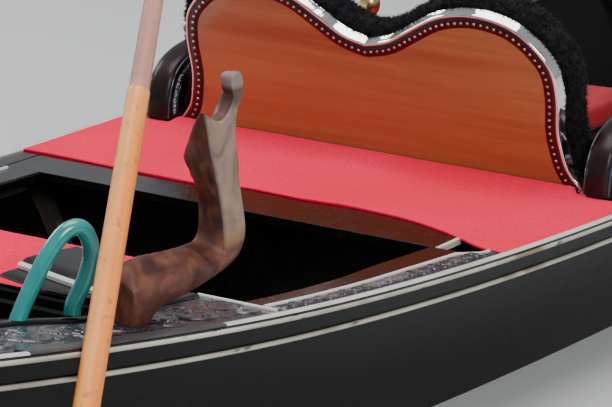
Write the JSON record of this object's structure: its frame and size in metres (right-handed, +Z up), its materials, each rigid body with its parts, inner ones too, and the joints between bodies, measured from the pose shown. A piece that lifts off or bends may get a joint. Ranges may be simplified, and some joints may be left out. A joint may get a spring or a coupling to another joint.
{
  "type": "rowing gondola",
  "caption": "Long flat-bottomed rowing boat with raised pointed ends, upholstered passenger seat, rower's stage, forked rowlock and a single oar.",
  "frame": {"origin": "amidships on the waterline, on the line through stem and stern", "axes": "+X towards the bow, +Y to port, +Z up"},
  "size_m": [10.8891, 2.0124, 2.9977],
  "materials": {
    "lacquer": "gloss black lacquer",
    "plank": "bare boards",
    "carved_lacquer": "carved wood under worn black lacquer",
    "pale_strip": "cream paint",
    "polished_metal": "polished",
    "brass": "polished",
    "red_carpet": "short pile",
    "red_cloth": "woven",
    "varnished_wood": "varnished",
    "black_fleece": "long pile",
    "walnut": "oiled and worn",
    "oar_wood": "varnished",
    "green_plastic": "gloss",
    "iron": "burnished"
  },
  "bodies": {
    "hull": {"bottom_planking_aft": "lacquer", "bottom_planking_middle": "lacquer", "bottom_planking_fore": "lacquer", "side_port": "lacquer", "side_starboard": "lacquer", "stem_post": "lacquer", "stern_post": "lacquer", "gunwale_cap_port": "carved_lacquer", "gunwale_cap_starboard": "carved_lacquer", "upper_strip_port": "pale_strip", "upper_strip_starboard": "pale_strip", "lower_strip_port": "pale_strip", "lower_strip_starboard": "pale_strip", "edge_strip_port": "polished_metal", "edge_strip_starboard": "polished_metal", "side_timbers_port": "plank", "side_timbers_starboard": "plank", "floorboards": "plank", "bow_deck": "lacquer", "stern_deck": "lacquer", "bow_bulkhead": "lacquer", "stern_bulkhead": "lacquer", "stage": "lacquer", "well_bulkhead": "lacquer", "side_deck_port": "carved_lacquer", "side_deck_starboard": "carved_lacquer", "step_board": "lacquer", "step_carpet": "red_carpet", "footrest": "lacquer", "footrest_bar": "polished_metal", "cover_board": "lacquer", "board_end_cap": "brass", "board_bulkhead": "lacquer", "seat_bulkhead": "lacquer", "seat_carpet": "red_carpet", "back_panel": "varnished_wood", "back_moulding": "polished_metal", "back_padding": "red_cloth", "back_fur": "black_fleece", "back_sill": "lacquer", "side_shelf_port": "lacquer", "side_shelf_starboard": "lacquer", "arm_board_port": "lacquer", "arm_board_starboard": "lacquer", "seat_box": "lacquer", "seat_cushion": "red_cloth", "lower_back_pad": "red_cloth", "bench_port": "lacquer", "bench_cushion_port": "red_cloth", "bench_starboard": "lacquer", "bench_cushion_starboard": "red_cloth", "floor_carpet": "red_carpet", "brass_finial_port": "brass", "brass_finial_starboard": "brass", "rowlock": "walnut", "green_tube": "green_plastic", "bow_iron": "iron", "stern_iron": "iron"},
    "oar": {"oar_shaft": "oar_wood", "oar_blade": "oar_wood"}
  },
  "joints": [
    {"name": "oar_sweep", "type": "hinge", "parent": "hull", "child": "oar", "pos_m": [-3.36903, -0.43234, 0.49593], "axis": [-0.0825, -0.8965, 0.4353], "range_deg": [-5, 50]}
  ]
}
